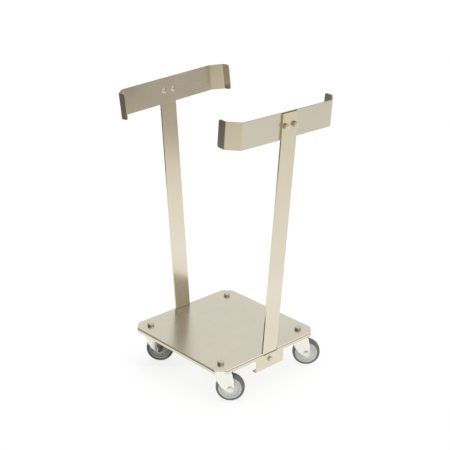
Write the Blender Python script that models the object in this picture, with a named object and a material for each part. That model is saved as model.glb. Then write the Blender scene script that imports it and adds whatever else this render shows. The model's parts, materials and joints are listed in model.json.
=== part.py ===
"""Drum dolly: a square steel deck on four swivel castors, with two leaning posts and two clamp bars.

Metres, +Z up. The origin is on the floor under the middle of the deck.
+X points to the right-hand post, +Y to the rear, along the clamp bars.
"""

import math

import bmesh
import bpy
from mathutils import Matrix, Vector

MM = 0.001
GAP = 0.3 * MM

# Deck: a flat plate with chamfered corners, notched for the posts.
DECK_HALF_X = 177.8 * MM
DECK_HALF_Y = 175.9 * MM
DECK_CHAMFER = 21.9 * MM
DECK_TOP = 103.6 * MM
DECK_THICKNESS = 2.4 * MM
DECK_CLEAR_HALF = 122.0 * MM

# Tray: folded sheet under the deck, with a flange on each side and a hanging tab at each post.
SHEET = 2.0 * MM
TRAY_TOP = DECK_TOP - DECK_THICKNESS - GAP
TRAY_BEND = 3.5 * MM
FLANGE_LOW = 90.6 * MM
TAB_HALF_WIDTH = 49.0 * MM
TAB_LOW = 55.0 * MM
TAB_LIP = 15.3 * MM

# Posts: flat bar that stands inside the tabs and leans outwards above the tray.
POST_WIDTH = 50.8 * MM
POST_THICKNESS = 4.0 * MM
POST_LEAN = math.radians(4.75)
POST_FOOT_LOW = TAB_LOW + SHEET + 2.0 * MM
POST_BEND_Z = 96.0 * MM
POST_REACH = 660.3 * MM
POST_OUTER_X = DECK_HALF_X - SHEET - GAP
POST_SLOT_MARGIN = 0.7 * MM
FOOT_BOLT_Z = 79.0 * MM

# Clamp bars: bent flat sheet on the inner faces of the posts, their tops just above the posts'.
BAR_REACH = 662.1 * MM
BAR_HEIGHT = 68.0 * MM
BAR_THICKNESS = 3.0 * MM
BAR_HALF_STRAIGHT = 149.5 * MM
BAR_SLANT = 39.5 * MM
BAR_SLANT_ANGLE = math.radians(42.0)
BAR_RETURN = 24.3 * MM
BAR_BEND = 6.0 * MM
BAR_END_ROUND = 6.0 * MM
BAR_BOLT_SPREAD = 15.0 * MM
BAR_HOLE_RADIUS = 5.2 * MM
# The left-hand bar sits askew in its bolt clearance: its rear end is the higher one.
BAR_ASKEW = {"right": 0.0, "left": math.radians(3.2)}
BAR_MIDDLE = BAR_REACH - BAR_HEIGHT / 2

# M8 button-head bolts and nuts on the posts.
BOLT_RADIUS = 4.0 * MM
BOLT_HEAD_RADIUS = 8.0 * MM
BOLT_HEAD_HEIGHT = 4.4 * MM
NUT_ACROSS_FLATS = 13.0 * MM
NUT_HEIGHT = 6.5 * MM
NUT_BORE = 4.5 * MM
THREAD_END = 2.0 * MM

# M10 castor bolts with hexagon heads on the deck.
CASTOR_X = 141.7 * MM
CASTOR_Y = 140.8 * MM
CASTOR_BOLT_RADIUS = 5.0 * MM
CASTOR_BOLT_HEAD = 6.4 * MM
CASTOR_BOLT_FLATS = 17.0 * MM
CASTOR_BOLT_LOW = 77.5 * MM
CASTOR_NUT_HEIGHT = 8.0 * MM
CASTOR_HOLE_RADIUS = 5.6 * MM

# Castors: trail behind the swivel axis, all turned the same way at rest.
CASTOR_TURN = math.radians(45.0)
TRAIL = 24.3 * MM
WHEEL_RADIUS = 37.5 * MM
CASTOR_TOP = TRAY_TOP - SHEET - GAP
CUP_RADIUS = 24.0 * MM
CUP_PLATE = 2.3 * MM
CUP_LOW = 91.2 * MM
RACE_RADIUS = 12.5 * MM
BALL_RADIUS = 2.6 * MM
CROWN_TOP = CASTOR_TOP - CUP_PLATE - 2 * BALL_RADIUS - 2 * GAP
CROWN_RADIUS = 22.0 * MM
CROWN_PLATE = 2.5 * MM
FORK_TOP = CROWN_TOP - 0.6 * MM
FORK_SHEET = 2.5 * MM
FORK_HALF_WIDTH = 16.2 * MM
FORK_BEND = 2.0 * MM
FORK_EYE = 9.5 * MM

# Wheel: turned plastic centre with a rubber tyre, on a sleeve around the axle bolt.
TYRE_HALF_WIDTH = 12.0 * MM
TYRE_INNER = 30.3 * MM
RIM_OUTER = TYRE_INNER - GAP
HUB_HALF_WIDTH = 12.6 * MM
SLEEVE_RADIUS = 6.0 * MM
SLEEVE_BORE = 4.5 * MM

WHEEL_STEPS = 24
ROUND_STEPS = 20
SMALL_STEPS = 16
HEX_STEPS = 12

# Colour, metallic and roughness of each material.
MATERIALS = {
    "deck_sheet": ((0.62, 0.58, 0.50), 1.0, 0.28),
    "tray_sheet": ((0.66, 0.63, 0.55), 1.0, 0.30),
    "post_bar": ((0.70, 0.66, 0.57), 1.0, 0.30),
    "clamp_bar": ((0.60, 0.56, 0.48), 1.0, 0.30),
    "bolt_steel": ((0.62, 0.60, 0.55), 1.0, 0.25),
    "nut_steel": ((0.60, 0.58, 0.53), 1.0, 0.30),
    "fork_steel": ((0.80, 0.80, 0.76), 1.0, 0.28),
    "race_steel": ((0.70, 0.70, 0.67), 1.0, 0.22),
    "sleeve_steel": ((0.55, 0.55, 0.53), 1.0, 0.35),
    "rim_plastic": ((0.48, 0.49, 0.47), 0.0, 0.45),
    "tyre_rubber": ((0.12, 0.12, 0.12), 0.0, 0.60),
}


def material(slot):
    """Material of a slot, made the first time it is asked for."""
    found = bpy.data.materials.get(slot)
    if found:
        return found
    colour, metallic, roughness = MATERIALS[slot]
    made = bpy.data.materials.new(slot)
    made.use_nodes = True
    shader = made.node_tree.nodes["Principled BSDF"]
    shader.inputs["Base Color"].default_value = (*colour, 1.0)
    shader.inputs["Metallic"].default_value = metallic
    shader.inputs["Roughness"].default_value = roughness
    return made


def place(name, mesh, slot, parent=None, location=(0, 0, 0), rotation=(0, 0, 0)):
    """Object of a finished mesh, with its material, at a place under its parent."""
    mesh.name = name
    mesh.materials.clear()
    mesh.materials.append(material(slot))
    mesh.shade_smooth()
    mesh.set_sharp_from_angle(angle=math.radians(32))
    piece = bpy.data.objects.new(name, mesh)
    bpy.context.scene.collection.objects.link(piece)
    piece.parent = parent
    piece.location = location
    piece.rotation_euler = rotation
    return piece


def frame(name, parent=None, location=(0, 0, 0), rotation=(0, 0, 0)):
    """Empty that carries the pieces of one sub-assembly."""
    empty = bpy.data.objects.new(name, None)
    bpy.context.scene.collection.objects.link(empty)
    empty.parent = parent
    empty.location = location
    empty.rotation_euler = rotation
    return empty


def skin(rings, loop=False):
    """Closed mesh through rings of points: capped at both ends, or joined end to end in a loop."""
    work = bmesh.new()
    loops = [[work.verts.new(point) for point in ring] for ring in rings]
    pairs = list(zip(loops, loops[1:]))
    if loop:
        pairs.append((loops[-1], loops[0]))
    else:
        work.faces.new(loops[0])
        work.faces.new(loops[-1])
    for low, high in pairs:
        for a in range(len(low)):
            b = (a + 1) % len(low)
            work.faces.new((low[a], low[b], high[b], high[a]))
    bmesh.ops.recalc_face_normals(work, faces=work.faces)
    return as_mesh(work)


def as_mesh(work):
    """Plain mesh of an edit mesh, which is freed."""
    mesh = bpy.data.meshes.new("piece")
    work.to_mesh(mesh)
    work.free()
    return mesh


def prism(outline, low, high):
    """Outline in XY, extruded from low to high along Z."""
    return skin([[(x, y, z) for x, y in outline] for z in (low, high)])


def block(low, high):
    """Box between two opposite corners."""
    outline = [(low[0], low[1]), (high[0], low[1]), (high[0], high[1]), (low[0], high[1])]
    return prism(outline, low[2], high[2])


def circle(radius, steps):
    return [(radius * math.cos(a), radius * math.sin(a)) for a in angles(steps)]


def hexagon(across_flats, steps):
    """Points of a hexagon, one at each step of angle, with its flats facing X."""
    points = []
    for a in angles(steps):
        off_flat = (a + math.pi / 6) % (math.pi / 3) - math.pi / 6
        reach = across_flats / 2 / math.cos(off_flat)
        points.append((reach * math.cos(a), reach * math.sin(a)))
    return points


def angles(steps):
    return [2 * math.pi * step / steps for step in range(steps)]


def at_height(ring, z):
    return [(x, y, z) for x, y in ring]


def turned(profile, steps, loop=False):
    """Profile of (radius, height) points turned about Z."""
    return skin([at_height(circle(radius, steps), z) for radius, z in profile], loop)


def rod(radius, low, high, centre=(0, 0)):
    """Upright cylinder, mostly for drilling."""
    outline = [(x + centre[0], y + centre[1]) for x, y in circle(radius, ROUND_STEPS)]
    return prism(outline, low, high)


def moved(mesh, matrix):
    mesh.transform(matrix)
    return mesh


def along_x(mesh, location=(0, 0, 0)):
    """Turn a mesh made about Z so that it lies along X, and set it in place."""
    return moved(mesh, Matrix.Translation(location) @ Matrix.Rotation(math.pi / 2, 4, "Y"))


def combined(body, tool, operation):
    """Boolean of two meshes, which are used up."""
    objects = [bpy.data.objects.new("work", mesh) for mesh in (body, tool)]
    for item in objects:
        bpy.context.scene.collection.objects.link(item)
    modifier = objects[0].modifiers.new("combine", "BOOLEAN")
    modifier.object = objects[1]
    modifier.operation = operation
    modifier.solver = "EXACT"
    graph = bpy.context.evaluated_depsgraph_get()
    result = bpy.data.meshes.new_from_object(objects[0].evaluated_get(graph))
    for item in objects:
        bpy.data.objects.remove(item)
    bpy.data.meshes.remove(body)
    bpy.data.meshes.remove(tool)
    return result


def drilled(body, tools):
    for tool in tools:
        body = combined(body, tool, "DIFFERENCE")
    return body


def rounded_corner(before, corner, after, radius, steps):
    """Arc that replaces a corner of an outline."""
    back = (before - corner).normalized()
    ahead = (after - corner).normalized()
    half = back.angle(ahead) / 2
    centre = corner + (back + ahead).normalized() * radius / math.sin(half)
    start = corner + back * radius / math.tan(half) - centre
    turn = math.copysign(math.pi - 2 * half, back.cross(ahead) * -1)
    return [centre + Matrix.Rotation(turn * step / steps, 2) @ start for step in range(steps + 1)]


def rounded_line(points, radii, steps):
    """Open line whose inner corners are arcs of the given radii."""
    line = [points[0]]
    for index, radius in enumerate(radii, start=1):
        line += rounded_corner(points[index - 1], points[index], points[index + 1], radius, steps)
    line.append(points[-1])
    return line


def offset_line(points, distance):
    """Line parallel to another, on its left."""
    ways = [(b - a).normalized() for a, b in zip(points, points[1:])]
    lefts = [Vector((-way.y, way.x)) for way in ways]
    result = [points[0] + lefts[0] * distance]
    for point, first, second in zip(points[1:], lefts, lefts[1:]):
        result.append(point + (first + second) * distance / (1 + first.dot(second)))
    result.append(points[-1] + lefts[-1] * distance)
    return result


def sheet_outline(points, thickness, inner_radius, steps=4):
    """Edge-on outline of a bent sheet that lies on the left of a line."""
    points = [Vector(point) for point in points]
    ways = [b - a for a, b in zip(points, points[1:])]
    near_radii = []
    far_radii = []
    for first, second in zip(ways, ways[1:]):
        turns_left = first.cross(second) > 0
        near_radii.append(inner_radius + thickness if turns_left else inner_radius)
        far_radii.append(inner_radius if turns_left else inner_radius + thickness)
    near = rounded_line(points, near_radii, steps)
    far = rounded_line(offset_line(points, thickness), far_radii, steps)
    return near + far[::-1]


def bevelled(mesh, wanted, radius, steps):
    """Round the edges that the test accepts, given their two end points."""
    work = bmesh.new()
    work.from_mesh(mesh)
    edges = [edge for edge in work.edges if wanted(edge.verts[0].co, edge.verts[1].co)]
    bmesh.ops.bevel(work, geom=edges, offset=radius, segments=steps, profile=0.5, affect="EDGES")
    work.to_mesh(mesh)
    work.free()
    return mesh


def split_around(mesh, half):
    """Add edges where the four planes around a square cross the mesh."""
    work = bmesh.new()
    work.from_mesh(mesh)
    for normal in (Vector((1, 0, 0)), Vector((0, 1, 0))):
        for distance in (-half, half):
            everything = work.verts[:] + work.edges[:] + work.faces[:]
            bmesh.ops.bisect_plane(
                work, geom=everything, plane_co=normal * distance, plane_no=normal
            )
    work.to_mesh(mesh)
    work.free()
    return mesh


def corners():
    """Name and place of each castor."""
    for depth, y in (("front", -CASTOR_Y), ("rear", CASTOR_Y)):
        for side, x in (("right", CASTOR_X), ("left", -CASTOR_X)):
            yield f"{depth}_{side}", x, y


def octagon(half_x, half_y, chamfer):
    return [
        (half_x, -half_y + chamfer),
        (half_x, half_y - chamfer),
        (half_x - chamfer, half_y),
        (-half_x + chamfer, half_y),
        (-half_x, half_y - chamfer),
        (-half_x, -half_y + chamfer),
        (-half_x + chamfer, -half_y),
        (half_x - chamfer, -half_y),
    ]


def post_slots(inner_x, outer_x, low, high):
    """Tools that open a slot for each post through the deck or the tray."""
    half = POST_WIDTH / 2 + POST_SLOT_MARGIN
    yield block((inner_x, -half, low), (outer_x, half, high))
    yield block((-outer_x, -half, low), (-inner_x, half, high))


def castor_holes(low, high):
    for _, x, y in corners():
        yield rod(CASTOR_HOLE_RADIUS, low, high, (x, y))


def make_deck():
    """Flat plate, its faces divided around the middle, where the load stands."""
    low = DECK_TOP - DECK_THICKNESS
    mesh = prism(octagon(DECK_HALF_X, DECK_HALF_Y, DECK_CHAMFER), low, DECK_TOP)
    slot_inner = POST_OUTER_X - POST_THICKNESS - POST_SLOT_MARGIN
    tools = [*castor_holes(low - MM, DECK_TOP + MM)]
    tools += post_slots(slot_inner, DECK_HALF_X + MM, low - MM, DECK_TOP + MM)
    mesh = split_around(drilled(mesh, tools), DECK_CLEAR_HALF)
    place("deck", mesh, "deck_sheet")


def make_tray():
    """Folded sheet: web, side flanges open at the corners, and two tabs with inward lips."""
    half_x, half_y = DECK_HALF_X, DECK_HALF_Y
    mesh = rounded_block(half_x, half_y, TAB_LOW, TRAY_TOP, TRAY_BEND)
    inside = rounded_block(
        half_x - SHEET, half_y - SHEET, TAB_LOW + SHEET, TRAY_TOP - SHEET, TRAY_BEND - SHEET
    )
    lip_x = half_x - TAB_LIP
    between_lips = block((-lip_x, -half_y, TAB_LOW - MM), (lip_x, half_y, TAB_LOW + 3 * SHEET))
    beyond = half_x + 5 * MM
    trims = [
        block((-beyond, side_low, TAB_LOW - MM), (beyond, side_high, FLANGE_LOW))
        for side_low, side_high in ((TAB_HALF_WIDTH, beyond), (-beyond, -TAB_HALF_WIDTH))
    ]
    chamfered = prism(
        octagon(half_x + MM, half_y + MM, DECK_CHAMFER + 2 * MM), TAB_LOW - MM, TRAY_TOP + MM
    )
    foot_holes = [
        along_x(rod(BOLT_RADIUS + 0.5 * MM, -4 * MM, 4 * MM), (side * half_x, 0, FOOT_BOLT_Z))
        for side in (-1, 1)
    ]
    slot_inner = POST_OUTER_X - POST_THICKNESS - POST_SLOT_MARGIN
    slots = post_slots(slot_inner, beyond, POST_BEND_Z, TRAY_TOP + MM)
    holes = castor_holes(TRAY_TOP - 2 * SHEET, TRAY_TOP + MM)
    mesh = drilled(mesh, [inside, between_lips, *trims])
    mesh = combined(mesh, chamfered, "INTERSECT")
    place("tray", drilled(mesh, [*slots, *holes, *foot_holes]), "tray_sheet")


def rounded_block(half_x, half_y, low, high, radius):
    """Box with round upper edges, and round lower edges on its two X sides."""
    mesh = block((-half_x, -half_y, low), (half_x, half_y, high))

    def is_bend(a, b):
        on_top = min(a.z, b.z) > high - 0.1 * MM
        below_x_side = max(a.z, b.z) < low + 0.1 * MM and abs(a.x - b.x) < 0.1 * MM
        return on_top or below_x_side

    return bevelled(mesh, is_bend, radius, 4)


def make_post(side, side_frame):
    """Flat bar with an upright foot, bent outwards where it leaves the tray."""
    bend = Vector((POST_OUTER_X, POST_BEND_Z))
    top = bend + POST_REACH * Vector((math.sin(POST_LEAN), math.cos(POST_LEAN)))
    line = [(POST_OUTER_X, POST_FOOT_LOW), bend, top]
    outline = sheet_outline(line, POST_THICKNESS, 12 * MM)
    mesh = prism(outline, -POST_WIDTH / 2, POST_WIDTH / 2)
    mesh = moved(mesh, Matrix.Rotation(math.pi / 2, 4, "X"))
    lean = Matrix.Translation((bend.x, 0, bend.y)) @ Matrix.Rotation(POST_LEAN, 4, "Y")
    holes = [along_x(post_drill(), (POST_OUTER_X, 0, FOOT_BOLT_Z))]
    for y in (-BAR_BOLT_SPREAD, BAR_BOLT_SPREAD):
        holes.append(moved(along_x(post_drill(), (0, y, BAR_MIDDLE)), lean))
    place(f"post_{side}", drilled(mesh, holes), "post_bar", side_frame)


def post_drill():
    return rod(BOLT_RADIUS + 0.5 * MM, -2 * POST_THICKNESS, POST_THICKNESS)


def make_bar(side, lean_frame, askew):
    """Flat sheet bent to a shallow C in plan, with rounded free corners."""
    slant_x = BAR_SLANT * math.sin(BAR_SLANT_ANGLE)
    end_y = BAR_HALF_STRAIGHT + BAR_SLANT * math.cos(BAR_SLANT_ANGLE)
    end_x = slant_x + BAR_RETURN
    half = [(-end_x, -end_y), (-slant_x, -end_y), (0, -BAR_HALF_STRAIGHT)]
    line = half + [(x, -y) for x, y in reversed(half)]
    outline = sheet_outline(line, BAR_THICKNESS, BAR_BEND)
    mesh = prism(outline, -BAR_HEIGHT / 2, BAR_HEIGHT / 2)

    def is_free_corner(a, b):
        return max(a.x, b.x) < -end_x + 0.1 * MM and abs(a.z - b.z) < 0.1 * MM

    mesh = bevelled(mesh, is_free_corner, BAR_END_ROUND, 4)
    holes = [
        along_x(rod(BAR_HOLE_RADIUS, -2 * BAR_THICKNESS, BAR_THICKNESS), (0, y, 0))
        for y in (-BAR_BOLT_SPREAD, BAR_BOLT_SPREAD)
    ]
    location = (-POST_THICKNESS - GAP, 0, BAR_MIDDLE)
    place(f"bar_{side}", drilled(mesh, holes), "clamp_bar", lean_frame, location, (askew, 0, 0))


def button_bolt(length):
    """Domed head above Z = 0 and a plain shank of the given length below it."""
    dome_radius = (BOLT_HEAD_RADIUS**2 + BOLT_HEAD_HEIGHT**2) / (2 * BOLT_HEAD_HEIGHT)
    dome_angle = math.asin(BOLT_HEAD_RADIUS / dome_radius)
    profile = []
    for step in range(1, 5):
        angle = dome_angle * step / 4
        drop = dome_radius * (1 - math.cos(angle))
        profile.append((dome_radius * math.sin(angle), BOLT_HEAD_HEIGHT - drop))
    profile += [(BOLT_RADIUS, 0), (BOLT_RADIUS, -length)]
    return turned(profile, SMALL_STEPS)


def hex_bolt(flats, head_height, radius, length):
    """Hexagon head above Z = 0, its top edge turned down, and a plain shank below it."""
    chamfer = 0.12 * head_height
    rings = [
        at_height(circle(0.46 * flats, HEX_STEPS), head_height),
        at_height(hexagon(flats, HEX_STEPS), head_height - chamfer),
        at_height(hexagon(flats, HEX_STEPS), 0),
        at_height(circle(radius, HEX_STEPS), 0),
        at_height(circle(radius, HEX_STEPS), -length),
    ]
    return skin(rings)


def hex_nut(flats, height, bore):
    """Hexagon nut from Z = 0 up, its two rims turned down."""
    chamfer = 0.1 * height
    outer = hexagon(flats, HEX_STEPS)
    rim = circle(0.46 * flats, HEX_STEPS)
    hole = circle(bore, HEX_STEPS)
    rings = [
        at_height(hole, 0),
        at_height(rim, 0),
        at_height(outer, chamfer),
        at_height(outer, height - chamfer),
        at_height(rim, height),
        at_height(hole, height),
    ]
    return skin(rings, loop=True)


def make_post_fasteners(side, side_frame, lean_frame):
    """Two bolts that hold the clamp bar, heads inside, and one that holds the foot, head outside."""
    inwards = (0, -math.pi / 2, 0)
    outwards = (0, math.pi / 2, 0)
    bar_grip = BAR_THICKNESS + POST_THICKNESS + 3 * GAP
    for depth, y in (("front", -BAR_BOLT_SPREAD), ("rear", BAR_BOLT_SPREAD)):
        if side == "left":
            y = -y
        head = (GAP - bar_grip, y, BAR_MIDDLE)
        bolt = button_bolt(bar_grip + NUT_HEIGHT + THREAD_END)
        place(f"bar_bolt_{side}_{depth}", bolt, "bolt_steel", lean_frame, head, inwards)
        nut = hex_nut(NUT_ACROSS_FLATS, NUT_HEIGHT, NUT_BORE)
        place(f"bar_nut_{side}_{depth}", nut, "nut_steel", lean_frame, (GAP, y, BAR_MIDDLE), outwards)
    foot_grip = SHEET + POST_THICKNESS + 3 * GAP
    foot_bolt = hex_bolt(
        NUT_ACROSS_FLATS, 5.3 * MM, BOLT_RADIUS, foot_grip + NUT_HEIGHT + THREAD_END
    )
    head = (DECK_HALF_X + GAP, 0, FOOT_BOLT_Z)
    place(f"foot_bolt_{side}", foot_bolt, "bolt_steel", side_frame, head, outwards)
    foot_nut = hex_nut(NUT_ACROSS_FLATS, NUT_HEIGHT, NUT_BORE)
    behind = (DECK_HALF_X + GAP - foot_grip - NUT_HEIGHT, 0, FOOT_BOLT_Z)
    place(f"foot_nut_{side}", foot_nut, "nut_steel", side_frame, behind, outwards)


def make_swivel(corner, castor_frame):
    """What stays still in a castor: its bolt, nut, cup and ring of balls."""
    head_low = DECK_TOP + GAP
    bolt = hex_bolt(
        CASTOR_BOLT_FLATS, CASTOR_BOLT_HEAD, CASTOR_BOLT_RADIUS, head_low - CASTOR_BOLT_LOW
    )
    place(f"castor_bolt_{corner}", bolt, "bolt_steel", castor_frame, (0, 0, head_low))
    nut = hex_nut(CASTOR_BOLT_FLATS, CASTOR_NUT_HEIGHT, CASTOR_HOLE_RADIUS)
    nut_low = FORK_TOP - FORK_SHEET - 1.5 * GAP - CASTOR_NUT_HEIGHT
    place(f"castor_nut_{corner}", nut, "nut_steel", castor_frame, (0, 0, nut_low))
    under_plate = CASTOR_TOP - CUP_PLATE
    rim_inner = CUP_RADIUS - 2 * MM
    cup = turned(
        [
            (CASTOR_HOLE_RADIUS, CASTOR_TOP),
            (CUP_RADIUS - 2 * MM, CASTOR_TOP),
            (CUP_RADIUS, CASTOR_TOP - 2 * MM),
            (CUP_RADIUS, CUP_LOW),
            (rim_inner, CUP_LOW),
            (rim_inner, under_plate - 1 * MM),
            (rim_inner - 1 * MM, under_plate),
            (CASTOR_HOLE_RADIUS, under_plate),
        ],
        ROUND_STEPS,
        loop=True,
    )
    place(f"swivel_cup_{corner}", cup, "fork_steel", castor_frame)
    ball_height = under_plate - GAP - BALL_RADIUS
    ring = [
        (RACE_RADIUS + BALL_RADIUS * math.cos(a), ball_height + BALL_RADIUS * math.sin(a))
        for a in angles(6)
    ]
    place(f"ball_ring_{corner}", turned(ring, SMALL_STEPS, loop=True), "race_steel", castor_frame)


def fork_side():
    """Outline of the fork seen along its axle: broad at the crown, narrowing to the axle eye."""
    axle = Vector((TRAIL, WHEEL_RADIUS))
    lead = [(-17, 95), (-17, 85), (-14, 78), (-7, 56), (3, 41)]
    trail = [(34, 47), (34.5, 60), (30, 80), (28, 85), (28, 95)]
    start, end = math.radians(222), math.radians(375)
    eye = []
    for step in range(9):
        angle = start + (end - start) * step / 8
        eye.append(axle + FORK_EYE * Vector((math.cos(angle), math.sin(angle))))
    points = [Vector(point) * MM for point in lead] + eye + [Vector(point) * MM for point in trail]
    return [(point.x, point.y) for point in points]


def make_fork(corner, castor_frame):
    """Channel-shaped pressing cut to its side outline, with a round crown that runs on the balls."""
    half = FORK_HALF_WIDTH
    below = WHEEL_RADIUS - 2 * FORK_EYE
    line = [(half, below), (half, FORK_TOP), (-half, FORK_TOP), (-half, below)]
    channel = prism(sheet_outline(line, FORK_SHEET, FORK_BEND), -60 * MM, 60 * MM)
    # The channel's section is drawn across the fork and upwards, then stood up along the trail.
    stand = Matrix(((0, 0, 1, 0), (1, 0, 0, 0), (0, 1, 0, 0), (0, 0, 0, 1)))
    channel = moved(channel, stand)
    side = prism(fork_side(), -2 * half, 2 * half)
    side = moved(side, Matrix.Rotation(math.pi / 2, 4, "X"))
    crown = rod(CROWN_RADIUS, CROWN_TOP - CROWN_PLATE, CROWN_TOP)
    fork = combined(combined(channel, side, "INTERSECT"), crown, "UNION")
    king_hole = rod(CASTOR_HOLE_RADIUS, FORK_TOP - 3 * FORK_SHEET, CROWN_TOP + MM)
    axle_hole = moved(
        rod(NUT_BORE, -2 * half, 2 * half),
        Matrix.Translation((TRAIL, 0, WHEEL_RADIUS)) @ Matrix.Rotation(math.pi / 2, 4, "X"),
    )
    place(f"fork_{corner}", drilled(fork, [king_hole, axle_hole]), "fork_steel", castor_frame)


def make_axle(corner, axle_frame):
    """Bolt through the fork, its nut, and the sleeve that the wheel turns on."""
    grip = 2 * FORK_HALF_WIDTH + 2 * GAP
    bolt = hex_bolt(NUT_ACROSS_FLATS, 5.3 * MM, BOLT_RADIUS, grip + NUT_HEIGHT + THREAD_END)
    place(f"axle_bolt_{corner}", bolt, "bolt_steel", axle_frame, (0, 0, grip / 2))
    nut = hex_nut(NUT_ACROSS_FLATS, NUT_HEIGHT, NUT_BORE)
    place(f"axle_nut_{corner}", nut, "nut_steel", axle_frame, (0, 0, -grip / 2 - NUT_HEIGHT))
    reach = FORK_HALF_WIDTH - FORK_SHEET - GAP
    sleeve = turned(
        [(SLEEVE_RADIUS, reach), (SLEEVE_RADIUS, -reach), (SLEEVE_BORE, -reach), (SLEEVE_BORE, reach)],
        SMALL_STEPS,
        loop=True,
    )
    place(f"axle_sleeve_{corner}", sleeve, "sleeve_steel", axle_frame)


def mirrored(half_profile):
    """Closed profile of a wheel from its upper half, listed from the bore outwards."""
    return half_profile + [(radius, -height) for radius, height in reversed(half_profile)]


def make_wheel(corner, axle_frame):
    """Plastic centre with a raised hub and edge, and a round-shouldered tyre."""
    rim = mirrored(
        [
            (SLEEVE_RADIUS + GAP, HUB_HALF_WIDTH),
            (11.0 * MM, HUB_HALF_WIDTH),
            (12.5 * MM, 8.4 * MM),
            (23.6 * MM, 8.4 * MM),
            (25.0 * MM, 10.6 * MM),
            (RIM_OUTER, 10.6 * MM),
        ]
    )
    tyre = mirrored(
        [
            (TYRE_INNER, TYRE_HALF_WIDTH),
            (33.7 * MM, 11.4 * MM),
            (36.3 * MM, 8.2 * MM),
            (WHEEL_RADIUS, 4.0 * MM),
        ]
    )
    place(f"wheel_rim_{corner}", turned(rim, WHEEL_STEPS, loop=True), "rim_plastic", axle_frame)
    place(f"tyre_{corner}", turned(tyre, WHEEL_STEPS, loop=True), "tyre_rubber", axle_frame)


def main():
    for leftover in list(bpy.data.objects):
        bpy.data.objects.remove(leftover)
    make_deck()
    make_tray()
    for side, turn in (("right", 0.0), ("left", math.pi)):
        side_frame = frame(f"side_{side}", rotation=(0, 0, turn))
        bend = (POST_OUTER_X, 0, POST_BEND_Z)
        lean_frame = frame(f"lean_{side}", side_frame, bend, (0, POST_LEAN, 0))
        make_post(side, side_frame)
        make_bar(side, lean_frame, BAR_ASKEW[side] * (-1 if side == "left" else 1))
        make_post_fasteners(side, side_frame, lean_frame)
    for corner, x, y in corners():
        castor_frame = frame(f"castor_{corner}", location=(x, y, 0), rotation=(0, 0, CASTOR_TURN))
        axle = (TRAIL, 0, WHEEL_RADIUS)
        axle_frame = frame(f"axle_{corner}", castor_frame, axle, (math.pi / 2, 0, 0))
        make_swivel(corner, castor_frame)
        make_fork(corner, castor_frame)
        make_axle(corner, axle_frame)
        make_wheel(corner, axle_frame)


main()
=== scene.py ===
"""Looks of the drum dolly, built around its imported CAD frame.

Metres, +Z up, in the CAD's own frame. Every place comes from the CAD nodes' boxes.
"""

import json
import math

import bmesh
import bpy
from mathutils import Matrix, Vector


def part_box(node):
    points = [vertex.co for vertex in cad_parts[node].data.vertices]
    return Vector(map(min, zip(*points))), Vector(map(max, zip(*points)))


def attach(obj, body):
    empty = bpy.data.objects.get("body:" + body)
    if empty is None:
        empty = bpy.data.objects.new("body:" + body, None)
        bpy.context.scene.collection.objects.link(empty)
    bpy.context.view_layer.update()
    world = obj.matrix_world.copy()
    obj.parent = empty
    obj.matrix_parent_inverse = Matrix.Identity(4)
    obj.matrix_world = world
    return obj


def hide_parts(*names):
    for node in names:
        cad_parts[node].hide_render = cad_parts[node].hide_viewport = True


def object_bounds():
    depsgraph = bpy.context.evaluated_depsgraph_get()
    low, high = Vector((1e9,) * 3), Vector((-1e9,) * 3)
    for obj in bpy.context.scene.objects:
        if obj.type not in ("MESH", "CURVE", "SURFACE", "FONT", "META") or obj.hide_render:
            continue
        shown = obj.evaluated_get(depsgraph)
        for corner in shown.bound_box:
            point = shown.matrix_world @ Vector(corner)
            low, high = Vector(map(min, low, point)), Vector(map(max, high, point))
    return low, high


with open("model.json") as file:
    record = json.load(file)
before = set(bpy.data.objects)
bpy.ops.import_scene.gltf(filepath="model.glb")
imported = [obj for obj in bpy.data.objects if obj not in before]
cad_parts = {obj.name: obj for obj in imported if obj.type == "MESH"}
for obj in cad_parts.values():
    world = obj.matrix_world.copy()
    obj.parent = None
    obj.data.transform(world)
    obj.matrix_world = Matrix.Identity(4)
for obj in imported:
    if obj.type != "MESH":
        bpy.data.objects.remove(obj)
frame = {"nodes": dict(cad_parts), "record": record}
CAD_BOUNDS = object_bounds()

MM = 0.001
CORNERS = ("front_right", "front_left", "rear_right", "rear_left")
SIDES = ("right", "left")
DEPTHS = ("front", "rear")

# Camera: the photograph's viewing angle, aimed at the middle of the object.
VIEW_AZIMUTH = math.radians(47.49)
VIEW_ELEVATION = math.radians(21.71)
VIEW_ROLL = math.radians(0.17)
VIEW_DISTANCE = 2.7134
VIEW_AIM = Vector((0.0014, 0.0009, 0.4026))
LENS = 83.12

# ---------------------------------------------------------------- meshes


def ring_points(radius, steps):
    return [
        (radius * math.cos(2 * math.pi * i / steps), radius * math.sin(2 * math.pi * i / steps))
        for i in range(steps)
    ]


def skin(rings, loop=False):
    """Closed mesh through rings of points: capped at both ends, or joined end to end in a loop."""
    work = bmesh.new()
    loops = [[work.verts.new(point) for point in ring] for ring in rings]
    pairs = list(zip(loops, loops[1:]))
    if loop:
        pairs.append((loops[-1], loops[0]))
    else:
        work.faces.new(loops[0])
        work.faces.new(loops[-1])
    for low, high in pairs:
        for a in range(len(low)):
            b = (a + 1) % len(low)
            work.faces.new((low[a], low[b], high[b], high[a]))
    bmesh.ops.recalc_face_normals(work, faces=work.faces)
    mesh = bpy.data.meshes.new("piece")
    work.to_mesh(mesh)
    work.free()
    return mesh


def turned(profile, steps, loop=False):
    """Profile of (radius, height) points turned about Z."""
    rings = [[(x, y, z) for x, y in ring_points(radius, steps)] for radius, z in profile]
    return skin(rings, loop)


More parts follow.
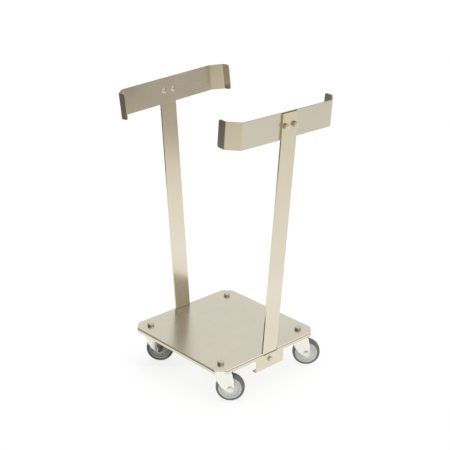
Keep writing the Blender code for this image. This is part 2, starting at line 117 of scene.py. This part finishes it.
def soft_corners(profile, radius, steps):
    """Closed profile whose corners are small arcs, no larger than a third of the sides next to them."""
    points = [Vector(point) for point in profile]
    count = len(points)
    result = []
    for index, corner in enumerate(points):
        back = points[index - 1] - corner
        ahead = points[(index + 1) % count] - corner
        reach = min(radius, back.length / 3, ahead.length / 3)
        start = corner + back.normalized() * reach
        end = corner + ahead.normalized() * reach
        for step in range(steps + 1):
            t = step / steps
            bend = start.lerp(corner, t).lerp(corner.lerp(end, t), t)
            result.append(tuple(bend))
    return result


def finished(mesh, name, material, matrix=None, angle=40):
    """Object of a mesh in the frame's own coordinates, shaded smooth but for its sharp edges."""
    if matrix is not None:
        mesh.transform(matrix)
    mesh.name = name
    mesh.materials.clear()
    mesh.materials.append(material)
    mesh.shade_smooth()
    mesh.set_sharp_from_angle(angle=math.radians(angle))
    piece = bpy.data.objects.new(name, mesh)
    bpy.context.scene.collection.objects.link(piece)
    return piece


def body_of(node):
    for body, nodes in frame["record"]["behaviour"]["bodies"].items():
        if node in nodes:
            return body
    raise ValueError(node)


def stands_for(piece, node):
    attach(piece, body_of(node))
    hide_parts(node)
    return piece


def dressed_copy(node, name, material, edge, steps=2):
    """Copy of a CAD node with its flat faces whole again and its edges rounded over."""
    mesh = frame["nodes"][node].data.copy()
    work = bmesh.new()
    work.from_mesh(mesh)
    bmesh.ops.remove_doubles(work, verts=work.verts, dist=0.00001)
    bmesh.ops.dissolve_limit(
        work, angle_limit=math.radians(0.6), verts=work.verts, edges=work.edges, delimit=set()
    )
    bmesh.ops.recalc_face_normals(work, faces=work.faces)
    work.to_mesh(mesh)
    work.free()
    piece = finished(mesh, name, material, angle=28)
    bevel = piece.modifiers.new("edges", "BEVEL")
    bevel.width = edge
    bevel.segments = steps
    bevel.limit_method = "ANGLE"
    bevel.angle_limit = math.radians(28)
    bevel.harden_normals = True
    return stands_for(piece, node)


# ---------------------------------------------------------------- materials


def node_group(name):
    """New material, its node tree's helper and its shader."""
    material = bpy.data.materials.new(name)
    material.use_nodes = True
    tree = material.node_tree
    return material, tree, tree.nodes["Principled BSDF"]


def add(tree, kind, **values):
    """Node of a kind, with its plain properties and its numbered or named inputs set."""
    node = tree.nodes.new(kind)
    for key, value in values.items():
        if key.startswith("in_"):
            node.inputs[key[3:].replace("_", " ")].default_value = value
        else:
            setattr(node, key, value)
    return node


def stretched_noise(tree, scale, detail):
    """Noise in the frame's coordinates, stretched where the scale is small."""
    place = add(tree, "ShaderNodeTexCoord")
    mapping = add(tree, "ShaderNodeMapping")
    mapping.inputs["Scale"].default_value = scale
    noise = add(tree, "ShaderNodeTexNoise", in_Scale=1.0, in_Detail=detail, in_Roughness=0.6)
    tree.links.new(place.outputs["Object"], mapping.inputs["Vector"])
    tree.links.new(mapping.outputs["Vector"], noise.inputs["Vector"])
    return noise.outputs["Fac"]


def between(tree, factor, low, high, start=0.3, end=0.7):
    """Number that goes from low to high as a factor goes from start to end."""
    node = add(tree, "ShaderNodeMapRange")
    node.inputs["From Min"].default_value = start
    node.inputs["From Max"].default_value = end
    node.inputs["To Min"].default_value = low
    node.inputs["To Max"].default_value = high
    tree.links.new(factor, node.inputs["Value"])
    return node.outputs["Result"]


def tint(tree, factor, low, high):
    """Colour between two colours."""
    node = add(tree, "ShaderNodeMix", data_type="RGBA")
    colour = [socket for socket in node.inputs if socket.type == "RGBA"]
    colour[0].default_value = (*low, 1.0)
    colour[1].default_value = (*high, 1.0)
    tree.links.new(factor, node.inputs[0])
    return [socket for socket in node.outputs if socket.type == "RGBA"][0]


def bumped(tree, shader, height, strength, distance):
    node = add(tree, "ShaderNodeBump")
    node.inputs["Strength"].default_value = strength
    node.inputs["Distance"].default_value = distance
    tree.links.new(height, node.inputs["Height"])
    tree.links.new(node.outputs["Normal"], shader.inputs["Normal"])


def scaled(colour, factor):
    return tuple(min(1.0, channel * factor) for channel in colour)


def painted_shade_up(tree, colour_socket, upper):
    """Colour painted towards another one up the posts: painted shade, standing in for the posts'
    reflection dimming higher up.
    """
    place = add(tree, "ShaderNodeTexCoord")
    axes = add(tree, "ShaderNodeSeparateXYZ")
    tree.links.new(place.outputs["Object"], axes.inputs["Vector"])
    node = add(tree, "ShaderNodeMix", data_type="RGBA")
    colour = [socket for socket in node.inputs if socket.type == "RGBA"]
    tree.links.new(colour_socket, colour[0])
    colour[1].default_value = (*upper, 1.0)
    tree.links.new(between(tree, axes.outputs["Z"], 0.0, 1.0, SHADE_PAINT_LOW, SHADE_PAINT_HIGH), node.inputs[0])
    return [socket for socket in node.outputs if socket.type == "RGBA"][0]


def brushed(name, colour, roughness, grain, bump, upper=None):
    """Brushed steel: fine scratches along the grain, broad cloudiness, and a little colour drift.

    It may also be painted darker towards another colour in the upper part of the object, as painted shade.
    """
    material, tree, shader = node_group(name)
    shader.inputs["Metallic"].default_value = 1.0
    scratches = stretched_noise(tree, grain, 3.0)
    clouds = stretched_noise(tree, (9, 9, 9), 3.0)
    cloudiness = between(tree, clouds, 0, 1)
    colour_socket = tint(tree, cloudiness, scaled(colour, 0.965), scaled(colour, 1.03))
    if upper:
        colour_socket = painted_shade_up(tree, colour_socket, upper)
    tree.links.new(colour_socket, shader.inputs["Base Color"])
    rough = add(tree, "ShaderNodeMath", operation="ADD")
    tree.links.new(between(tree, scratches, -0.02, 0.02), rough.inputs[0])
    tree.links.new(between(tree, clouds, roughness - 0.03, roughness + 0.03), rough.inputs[1])
    tree.links.new(rough.outputs[0], shader.inputs["Roughness"])
    bumped(tree, shader, scratches, bump, 0.00004)
    return material


def moulded(name, colour, roughness, grain_size, bump):
    """Moulded plastic or rubber: fine even grain and slight cloudiness."""
    material, tree, shader = node_group(name)
    scale = 1 / grain_size
    grain = stretched_noise(tree, (scale, scale, scale), 2.0)
    clouds = stretched_noise(tree, (40, 40, 40), 3.0)
    cloudiness = between(tree, clouds, 0, 1)
    colour_socket = tint(tree, cloudiness, scaled(colour, 0.9), scaled(colour, 1.1))
    tree.links.new(colour_socket, shader.inputs["Base Color"])
    tree.links.new(between(tree, clouds, roughness - 0.05, roughness + 0.05), shader.inputs["Roughness"])
    bumped(tree, shader, grain, bump, 0.00005)
    return material


# Grain of the noise per metre: drawn out along the brushing, and fine across it.
LONG = 6.0
FINE = 900.0
# Heights between which the posts' steel is painted darker and yellower: painted shade for a reflection
# that dims up the posts.
SHADE_PAINT_LOW = 0.28
SHADE_PAINT_HIGH = 0.72
DECK_STEEL = brushed("deck_steel", (0.79, 0.735, 0.615), 0.25, (LONG, FINE, LONG), bump=0.08)
# Sheared, rougher steel that is also painted dark as painted shade on the deck's front and rear edges;
# near-white steel as a painted highlight on its side edges.
SHEARED_SHADE_STEEL = brushed("sheared_shade_steel", (0.42, 0.39, 0.32), 0.50, (400, 400, 400), bump=0.15)
PAINTED_HIGHLIGHT_STEEL = brushed("painted_highlight_steel", (0.97, 0.93, 0.83), 0.25, (400, 400, 400), bump=0.08)
# Near-black steel for the lip ends under the tabs: painted shade.
LIP_SHADE_STEEL = brushed("painted_shade_steel", (0.07, 0.07, 0.065), 0.55, (400, 400, 400), bump=0.2)
TRAY_STEEL = brushed("tray_steel", (0.725, 0.68, 0.53), 0.26, (LONG, LONG, FINE), bump=0.08)
# The upper colour is painted shade: the posts are painted darker and yellower towards the top.
POST_STEEL = brushed(
    "post_steel", (0.755, 0.695, 0.565), 0.18, (FINE, FINE, LONG), bump=0.08, upper=(0.61, 0.555, 0.41)
)
BAR_STEEL = brushed("bar_steel", (0.585, 0.54, 0.435), 0.24, (LONG, LONG, FINE), bump=0.08)
BOLT_STEEL = brushed("bolt_steel", (0.66, 0.63, 0.55), 0.20, (700, 700, 700), bump=0.1)
NUT_STEEL = brushed("nut_steel", (0.70, 0.66, 0.57), 0.24, (700, 700, 700), bump=0.1)
FORK_STEEL = brushed("fork_steel", (0.88, 0.875, 0.80), 0.32, (300, 300, 60), bump=0.1)
RACE_STEEL = brushed("race_steel", (0.75, 0.75, 0.72), 0.15, (500, 500, 500), bump=0.05)
SLEEVE_STEEL = brushed("sleeve_steel", (0.70, 0.70, 0.67), 0.25, (600, 600, 600), bump=0.1)
AXLE_STEEL = brushed("axle_steel", (0.80, 0.80, 0.76), 0.30, (600, 600, 600), bump=0.1)
RIM_PLASTIC = moulded("rim_plastic", (0.59, 0.61, 0.575), 0.42, 0.0006, 0.15)
TYRE_RUBBER = moulded("tyre_rubber", (0.135, 0.134, 0.137), 0.55, 0.0005, 0.25)

# ---------------------------------------------------------------- sheet and bar stock

LIP_TOP = 58.0 * MM
# A face whose normal has more than this of an axis faces along it.
SQUARE_ON = 0.9


def shade_lip_ends(mesh, steel):
    """Give another steel to the ends of the lips under the hanging tabs: near black, as painted shade on
    their ends.
    """
    mesh.materials.append(steel)
    work = bmesh.new()
    work.from_mesh(mesh)
    ends = [face for face in work.faces if abs(face.normal.y) > SQUARE_ON]
    low = [face for face in ends if min(corner.co.z for corner in face.verts) < LIP_TOP]
    edges = {edge for face in low for edge in face.edges}
    corners = {corner for face in low for corner in face.verts}
    geometry = low + list(edges) + list(corners)
    bmesh.ops.bisect_plane(work, geom=geometry, plane_co=(0, 0, LIP_TOP), plane_no=(0, 0, 1))
    for face in work.faces:
        if abs(face.normal.y) > SQUARE_ON and face.calc_center_median().z < LIP_TOP:
            face.material_index = 1
    work.to_mesh(mesh)
    work.free()


deck = dressed_copy("deck", "deck_plate", DECK_STEEL, 0.6 * MM, 4)
# The deck's front and rear edges are sheared and dull and painted darker as painted shade, and the other
# two are painted near white as a painted highlight.
deck.data.materials.append(SHEARED_SHADE_STEEL)
deck.data.materials.append(PAINTED_HIGHLIGHT_STEEL)
for face in deck.data.polygons:
    if abs(face.normal.y) > SQUARE_ON:
        face.material_index = 1
    elif abs(face.normal.x) > SQUARE_ON:
        face.material_index = 2
tray = dressed_copy("tray", "folded_tray", TRAY_STEEL, 0.35 * MM)
shade_lip_ends(tray.data, LIP_SHADE_STEEL)
for side in SIDES:
    dressed_copy(f"post_{side}", f"flat_bar_post_{side}", POST_STEEL, 0.5 * MM)
    dressed_copy(f"bar_{side}", f"clamp_bar_{side}", BAR_STEEL, 0.5 * MM)

# ---------------------------------------------------------------- fasteners

AROUND = 48


def hexagon_radii(flats):
    """Distance from the middle to a hexagon's outline, at even steps around it."""
    sixth = math.pi / 3
    angles = [2 * math.pi * i / AROUND for i in range(AROUND)]
    return [flats / 2 / math.cos((angle + sixth / 2) % sixth - sixth / 2) for angle in angles]


def ring(radii, heights):
    """Ring of points from its radius and height at each step, or one number for all of them."""
    if not isinstance(radii, list):
        radii = [radii] * AROUND
    if not isinstance(heights, list):
        heights = [heights] * AROUND
    unit = ring_points(1.0, AROUND)
    return [(x * r, y * r, z) for (x, y), r, z in zip(unit, radii, heights)]


def turned_down(radii, rim, edge, way):
    """Heights of a hexagon's corners where a 30 degree cone from a rim cuts them."""
    return [edge - way * max(0.0, radius - rim) * math.tan(math.pi / 6) for radius in radii]


def thread(radius, pitch, start, end):
    """Rings of a thread's crests and roots, down from one height to another."""
    depth = 0.55 * pitch
    rings = []
    for step in range(int((start - end) / pitch)):
        z = start - step * pitch
        rings.append(ring(radius - depth, z))
        rings.append(ring(radius, z - 0.42 * pitch))
        rings.append(ring(radius, z - 0.58 * pitch))
    rings.append(ring(radius - depth, end))
    return rings


def hex_bolt(flats, head, radius, pitch, length):
    """Hexagon bolt, head above Z = 0 on its washer face, threaded below its plain shank."""
    outline = hexagon_radii(flats)
    rim = 0.475 * flats
    washer = 0.4 * MM
    rings = [
        ring(0.3 * flats, head - 0.15 * MM),
        ring(0.34 * flats, head),
        ring(rim - 0.3 * MM, head),
        ring(rim, head - 0.12 * MM),
        ring(outline, turned_down(outline, rim, head - 0.12 * MM, 1)),
        ring(outline, washer),
        ring(rim, washer),
        ring(rim, 0.0),
        ring(radius, 0.0),
    ]
    plain = 0.35 * length
    rings += [ring(radius, -plain)]
    rings += thread(radius, pitch, -plain - 0.2 * MM, -length + 0.6 * MM)
    rings += [ring(radius - 0.9 * MM, -length)]
    return skin(rings)


def button_bolt(radius, head_radius, head, socket, pitch, length):
    """Domed head above Z = 0 with a hexagon socket, threaded below its plain shank."""
    dome = (head_radius**2 + head**2) / (2 * head)
    top = head - 0.25 * MM
    outline = hexagon_radii(socket)
    floor = top - 0.55 * head
    rings = [
        ring(0.2 * MM, floor - 0.6 * MM),
        ring([0.96 * r for r in outline], floor),
        ring(outline, floor + 0.1 * MM),
        ring(outline, top - 0.1 * MM),
        ring([r + 0.2 * MM for r in outline], top + 0.06 * MM),
    ]
    lowest = head - dome
    first = 0.42 * head_radius
    for step in range(9):
        reach = first + (head_radius - first) * math.sin(math.pi / 2 * step / 8)
        rings.append(ring(reach, max(0.25 * MM, lowest + math.sqrt(dome**2 - reach**2))))
    rings += [ring(head_radius - 0.15 * MM, 0.0), ring(radius, 0.0), ring(radius, -0.3 * length)]
    rings += thread(radius, pitch, -0.3 * length - 0.2 * MM, -length + 0.6 * MM)
    rings += [ring(radius - 0.8 * MM, -length)]
    return skin(rings)


def hex_nut(flats, height, bore):
    """Hexagon nut from Z = 0 up, both faces turned down and its bore countersunk."""
    outline = hexagon_radii(flats)
    rim = 0.475 * flats
    rings = [
        ring(bore, 0.5 * MM),
        ring(bore + 0.5 * MM, 0.0),
        ring(rim, 0.0),
        ring(outline, turned_down(outline, rim, 0.1 * MM, -1)),
        ring(outline, turned_down(outline, rim, height - 0.1 * MM, 1)),
        ring(rim, height),
        ring(bore + 0.5 * MM, height),
        ring(bore, height - 0.5 * MM),
    ]
    return skin(rings, loop=True)


def on_axis(node, way, from_end):
    """Place on a node's own axis, Z along the way, measured back from its far end."""
    way = way.normalized()
    across = way.orthogonal() if abs(way.z) < 0.9 else Vector((1, 1, 0))
    across = (across - way * across.dot(way)).normalized()
    third = way.cross(across)
    points = [vertex.co for vertex in frame["nodes"][node].data.vertices]
    middle = Vector()
    for axis in (across, third):
        reach = [point.dot(axis) for point in points]
        middle += axis * (max(reach) + min(reach)) / 2
    middle += way * (max(point.dot(way) for point in points) - from_end)
    turn = Matrix((across, third, way)).transposed().to_4x4()
    return Matrix.Translation(middle) @ turn


def length_of(node, way):
    reach = [vertex.co.dot(way.normalized()) for vertex in frame["nodes"][node].data.vertices]
    return max(reach) - min(reach)


def put_bolt(node, mesh_of, head, way, steel):
    """Bolt whose head points along the way and is as high as the node's."""
    mesh = mesh_of(length_of(node, way) - head)
    piece = finished(mesh, f"{node}_turned", steel, on_axis(node, way, head), angle=32)
    return stands_for(piece, node)


def put_nut(node, flats, height, bore, way, steel):
    mesh = hex_nut(flats, height, bore)
    piece = finished(mesh, f"{node}_turned", steel, on_axis(node, way, height), angle=32)
    return stands_for(piece, node)


M8_FLATS = 13.0 * MM
M8_NUT = 6.5 * MM
M8_BORE = 4.25 * MM
M8_HEAD = 5.3 * MM
M8_PITCH = 1.25 * MM
BUTTON_HEAD = 4.4 * MM
BUTTON_RADIUS = 8.0 * MM
BUTTON_SOCKET = 5.0 * MM
M10_FLATS = 17.0 * MM
M10_HEAD = 6.4 * MM
M10_NUT = 8.0 * MM
M10_BORE = 5.3 * MM
M10_PITCH = 1.5 * MM
POST_LEAN = math.radians(4.75)


def small_hex_bolt(length):
    return hex_bolt(M8_FLATS, M8_HEAD, 4.0 * MM, M8_PITCH, length)


def large_hex_bolt(length):
    return hex_bolt(M10_FLATS, M10_HEAD, 5.0 * MM, M10_PITCH, length)


def button(length):
    return button_bolt(4.0 * MM, BUTTON_RADIUS, BUTTON_HEAD, BUTTON_SOCKET, M8_PITCH, length)


for side, out in (("right", 1), ("left", -1)):
    outwards = Vector((out * math.cos(POST_LEAN), 0, -math.sin(POST_LEAN)))
    for depth in DEPTHS:
        put_bolt(f"bar_bolt_{side}_{depth}", button, BUTTON_HEAD, -outwards, BOLT_STEEL)
        put_nut(f"bar_nut_{side}_{depth}", M8_FLATS, M8_NUT, M8_BORE, outwards, NUT_STEEL)
    level = Vector((out, 0, 0))
    put_bolt(f"foot_bolt_{side}", small_hex_bolt, M8_HEAD, level, BOLT_STEEL)
    put_nut(f"foot_nut_{side}", M8_FLATS, M8_NUT, M8_BORE, -level, NUT_STEEL)

# ---------------------------------------------------------------- castors

WHEEL_STEPS = 96
CUP_STEPS = 64
BALLS = 14


def mirrored(half_profile):
    """Closed profile of a wheel from its upper half, listed from the bore outwards."""
    return half_profile + [(radius, -height) for radius, height in reversed(half_profile)]


def rim_mesh():
    """Wheel centre with its hub, a stepped disc, a groove and a raised edge."""
    half = [
        (6.3, 12.6),
        (10.6, 12.6),
        (12.2, 9.6),
        (13.2, 8.6),
        (18.8, 8.2),
        (19.2, 9.0),
        (20.8, 9.0),
        (21.2, 8.2),
        (23.6, 7.4),
        (24.6, 7.4),
        (25.4, 10.6),
        (26.6, 10.9),
        (27.2, 9.9),
        (27.8, 9.9),
        (28.3, 10.8),
        (30.0, 10.8),
    ]
    half = [(radius * MM, height * MM) for radius, height in half]
    return turned(soft_corners(mirrored(half), 0.35 * MM, 2), WHEEL_STEPS, loop=True)


def tyre_mesh():
    """Rubber tyre with round shoulders and a slightly crowned tread."""
    half = [(30.3, 11.6), (32.4, 11.7), (34.9, 10.6), (36.6, 8.2), (37.35, 4.6), (37.5, 1.2)]
    half = [(radius * MM, height * MM) for radius, height in half]
    return turned(soft_corners(mirrored(half), 1.2 * MM, 3), WHEEL_STEPS, loop=True)


def cup_mesh(low, high):
    """Pressed swivel cup, open below, turned about Z."""
    plate = high - 2.3 * MM
    profile = [
        (5.6 * MM, high),
        (19.0 * MM, high),
        (22.8 * MM, high - 0.9 * MM),
        (24.0 * MM, high - 2.4 * MM),
        (24.0 * MM, low),
        (22.0 * MM, low),
        (22.0 * MM, plate - 1.0 * MM),
        (21.0 * MM, plate),
        (5.6 * MM, plate),
    ]
    return turned(soft_corners(profile, 0.6 * MM, 2), CUP_STEPS, loop=True)


def balls_mesh(radius, size):
    """Ring of loose balls about Z."""
    work = bmesh.new()
    for x, y in ring_points(radius, BALLS):
        place = Matrix.Translation((x, y, 0))
        bmesh.ops.create_uvsphere(work, u_segments=20, v_segments=12, radius=size, matrix=place)
    mesh = bpy.data.meshes.new("piece")
    work.to_mesh(mesh)
    work.free()
    return mesh


def middle_of(node):
    low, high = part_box(node)
    return (Vector(low) + Vector(high)) / 2


def make_castor(corner):
    """Everything between the tray and the floor at one corner."""
    king = middle_of(f"castor_bolt_{corner}")
    hub = middle_of(f"tyre_{corner}")
    trail = Vector((hub.x - king.x, hub.y - king.y, 0)).normalized()
    axle = Vector((trail.y, -trail.x, 0))
    up = Vector((0, 0, 1))
    put_bolt(f"castor_bolt_{corner}", large_hex_bolt, M10_HEAD, up, BOLT_STEEL)
    put_nut(f"castor_nut_{corner}", M10_FLATS, M10_NUT, M10_BORE, up, NUT_STEEL)
    put_bolt(f"axle_bolt_{corner}", small_hex_bolt, M8_HEAD, axle, AXLE_STEEL)
    put_nut(f"axle_nut_{corner}", M8_FLATS, M8_NUT, M8_BORE, -axle, AXLE_STEEL)
    centre = Matrix.Translation((king.x, king.y, 0))
    cup = f"swivel_cup_{corner}"
    low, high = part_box(cup)
    piece = finished(cup_mesh(low[2], high[2]), f"{cup}_pressed", FORK_STEEL, centre)
    stands_for(piece, cup)
    balls = f"ball_ring_{corner}"
    low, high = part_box(balls)
    size = (high[2] - low[2]) / 2
    radius = (high[0] - low[0]) / 2 - size
    at = Matrix.Translation((king.x, king.y, (high[2] + low[2]) / 2))
    piece = finished(balls_mesh(radius, size), f"balls_{corner}", RACE_STEEL, at, angle=180)
    stands_for(piece, balls)
    dressed_copy(f"fork_{corner}", f"pressed_fork_{corner}", FORK_STEEL, 0.7 * MM, 3)
    turn = Matrix((trail, up, axle)).transposed().to_4x4()
    on_hub = Matrix.Translation(hub) @ turn
    sleeve = f"axle_sleeve_{corner}"
    reach = length_of(sleeve, axle) / 2
    profile = [(6.0 * MM, reach), (6.0 * MM, -reach), (4.5 * MM, -reach), (4.5 * MM, reach)]
    mesh = turned(soft_corners(profile, 0.3 * MM, 2), AROUND, loop=True)
    piece = finished(mesh, f"{sleeve}_turned", SLEEVE_STEEL, on_hub)
    stands_for(piece, sleeve)
    rim = f"wheel_rim_{corner}"
    piece = finished(rim_mesh(), f"{rim}_moulded", RIM_PLASTIC, on_hub, angle=50)
    stands_for(piece, rim)
    tyre = f"tyre_{corner}"
    piece = finished(tyre_mesh(), f"{tyre}_moulded", TYRE_RUBBER, on_hub, angle=50)
    stands_for(piece, tyre)


for corner in CORNERS:
    make_castor(corner)

# ---------------------------------------------------------------- floor, light and camera

TO_CAMERA = Vector((math.sin(VIEW_AZIMUTH), -math.cos(VIEW_AZIMUTH), 0))
TO_RIGHT = Vector((math.cos(VIEW_AZIMUTH), math.sin(VIEW_AZIMUTH), 0))
WALL_HEIGHT = 2.6
# Each wall's middle, half its length, and its colour below and above a height.
SIDE_LENGTH = TO_CAMERA * 3.5
FRONT_LENGTH = TO_RIGHT * 2.15
RIGHT = TO_RIGHT * 2.8
RIGHT_BREAK = 1.25
RIGHT_LOW = (0.56, 0.525, 0.495)
RIGHT_HIGH = (0.30, 0.29, 0.27)
LEFT = TO_RIGHT * -1.5
LEFT_COLOUR = (0.14, 0.13, 0.115)
FRONT = TO_CAMERA * 1.2 + TO_RIGHT * 0.65
FRONT_BREAK = 0.36
FRONT_LOW = (1.0, 0.96, 0.88)
FRONT_HIGH = (0.72, 0.68, 0.58)
FLAG_COLOUR = (0.05, 0.05, 0.045)
FLAG_LOW = 0.004
FLAG_HIGH = 0.088
# How bright the surroundings are in reflections, and the floor's own colour and glow.
BACKDROP = 0.80
FLOOR_GREY = 0.20
FLOOR_GLOW = 0.81


def glowing(name, colour):
    """Plain even glow, for a studio wall."""
    material, tree, shader = node_group(name)
    shader.inputs["Base Color"].default_value = (0.0, 0.0, 0.0, 1.0)
    shader.inputs["Emission Color"].default_value = (*colour, 1.0)
    shader.inputs["Emission Strength"].default_value = 1.0
    return material


def make_wall(name, middle, along, colour, low=0.0, high=WALL_HEIGHT):
    """Studio wall beside the object, seen only in its reflections."""
    foot = [middle - along + Vector((0, 0, low)), middle + along + Vector((0, 0, low))]
    top = [point + Vector((0, 0, high - low)) for point in reversed(foot)]
    mesh = bpy.data.meshes.new(name)
    mesh.from_pydata([tuple(point) for point in foot + top], [], [(0, 1, 2, 3)])
    mesh.materials.append(glowing(name, colour))
    wall = bpy.data.objects.new(name, mesh)
    bpy.context.scene.collection.objects.link(wall)
    wall.visible_camera = False
    wall.visible_diffuse = False
    wall.visible_shadow = False


def make_flag(name, middle, half_width, in_reflections):
    """Dark card that keeps light off what is behind it, and isn't seen itself."""
    make_wall(name, middle, TO_RIGHT * half_width, FLAG_COLOUR, FLAG_LOW, FLAG_HIGH)
    flag = bpy.data.objects[name]
    flag.visible_diffuse = True
    flag.visible_shadow = True
    flag.visible_glossy = in_reflections


def make_floor():
    work = bmesh.new()
    bmesh.ops.create_circle(work, cap_ends=True, radius=60.0, segments=64)
    mesh = bpy.data.meshes.new("studio_floor")
    work.to_mesh(mesh)
    work.free()
    material, tree, shader = node_group("floor_paper")
    shader.inputs["Base Color"].default_value = (FLOOR_GREY, FLOOR_GREY, FLOOR_GREY, 1.0)
    shader.inputs["Roughness"].default_value = 0.9
    shader.inputs["Specular IOR Level"].default_value = 0.1
    shader.inputs["Emission Color"].default_value = (1.0, 1.0, 1.0, 1.0)
    shader.inputs["Emission Strength"].default_value = FLOOR_GLOW
    mesh.materials.append(material)
    floor = bpy.data.objects.new("studio_floor", mesh)
    bpy.context.scene.collection.objects.link(floor)
    floor.location.z = CAD_BOUNDS[0].z - 0.0002


def make_lamp(name, place, size, power):
    """Soft square lamp that shines at the middle of the object and isn't seen itself."""
    data = bpy.data.lights.new(name, "AREA")
    data.size = size
    data.energy = power
    lamp = bpy.data.objects.new(name, data)
    bpy.context.scene.collection.objects.link(lamp)
    lamp.matrix_world = Matrix.Translation(place) @ (
        (VIEW_AIM - place).to_track_quat("-Z", "Y").to_matrix().to_4x4()
    )
    lamp.visible_camera = False
    lamp.visible_glossy = False


def make_camera():
    back = TO_CAMERA * math.cos(VIEW_ELEVATION) + Vector((0, 0, math.sin(VIEW_ELEVATION)))
    data = bpy.data.cameras.new("camera")
    data.lens = LENS
    data.sensor_width = 36.0
    camera = bpy.data.objects.new("camera", data)
    bpy.context.scene.collection.objects.link(camera)
    look = (-back).to_track_quat("-Z", "Y").to_matrix().to_4x4()
    place = Matrix.Translation(VIEW_AIM + back * VIEW_DISTANCE)
    camera.matrix_world = place @ look @ Matrix.Rotation(VIEW_ROLL, 4, "Z")
    bpy.context.scene.camera = camera


def make_world():
    """White behind the object, and a slightly greyer room in its reflections."""
    world = bpy.data.worlds.new("studio")
    bpy.context.scene.world = world
    world.use_nodes = True
    tree = world.node_tree
    background = tree.nodes["Background"]
    background.inputs["Color"].default_value = (1.0, 1.0, 1.0, 1.0)
    path = tree.nodes.new("ShaderNodeLightPath")
    strength = tree.nodes.new("ShaderNodeMapRange")
    strength.inputs["To Min"].default_value = 1.0
    strength.inputs["To Max"].default_value = BACKDROP
    tree.links.new(path.outputs["Is Glossy Ray"], strength.inputs["Value"])
    tree.links.new(strength.outputs["Result"], background.inputs["Strength"])


make_floor()
make_wall("wall_right_low", RIGHT, SIDE_LENGTH, RIGHT_LOW, high=RIGHT_BREAK)
make_wall("wall_right_high", RIGHT, SIDE_LENGTH, RIGHT_HIGH, low=RIGHT_BREAK)
make_wall("wall_left", LEFT, SIDE_LENGTH, LEFT_COLOUR)
make_wall("wall_front_low", FRONT, FRONT_LENGTH, FRONT_LOW, high=FRONT_BREAK)
make_wall("wall_front_high", FRONT, FRONT_LENGTH, FRONT_HIGH, low=FRONT_BREAK)
# The front left-hand wheel stands in the shade of two flags, and only the right one shows in its fork.
shaded_wheel = middle_of("tyre_front_left")
before_wheel = Vector((shaded_wheel.x, shaded_wheel.y, 0)) + TO_CAMERA * 0.044
make_flag("flag_left", before_wheel - TO_RIGHT * 0.040, 0.022, False)
make_flag("flag_right", before_wheel + TO_RIGHT * 0.020, 0.038, True)
make_lamp("overhead", Vector((0.3, -0.2, 2.6)), 1.6, 4.0)
make_world()
make_camera()
bpy.context.scene.view_settings.view_transform = "Standard"
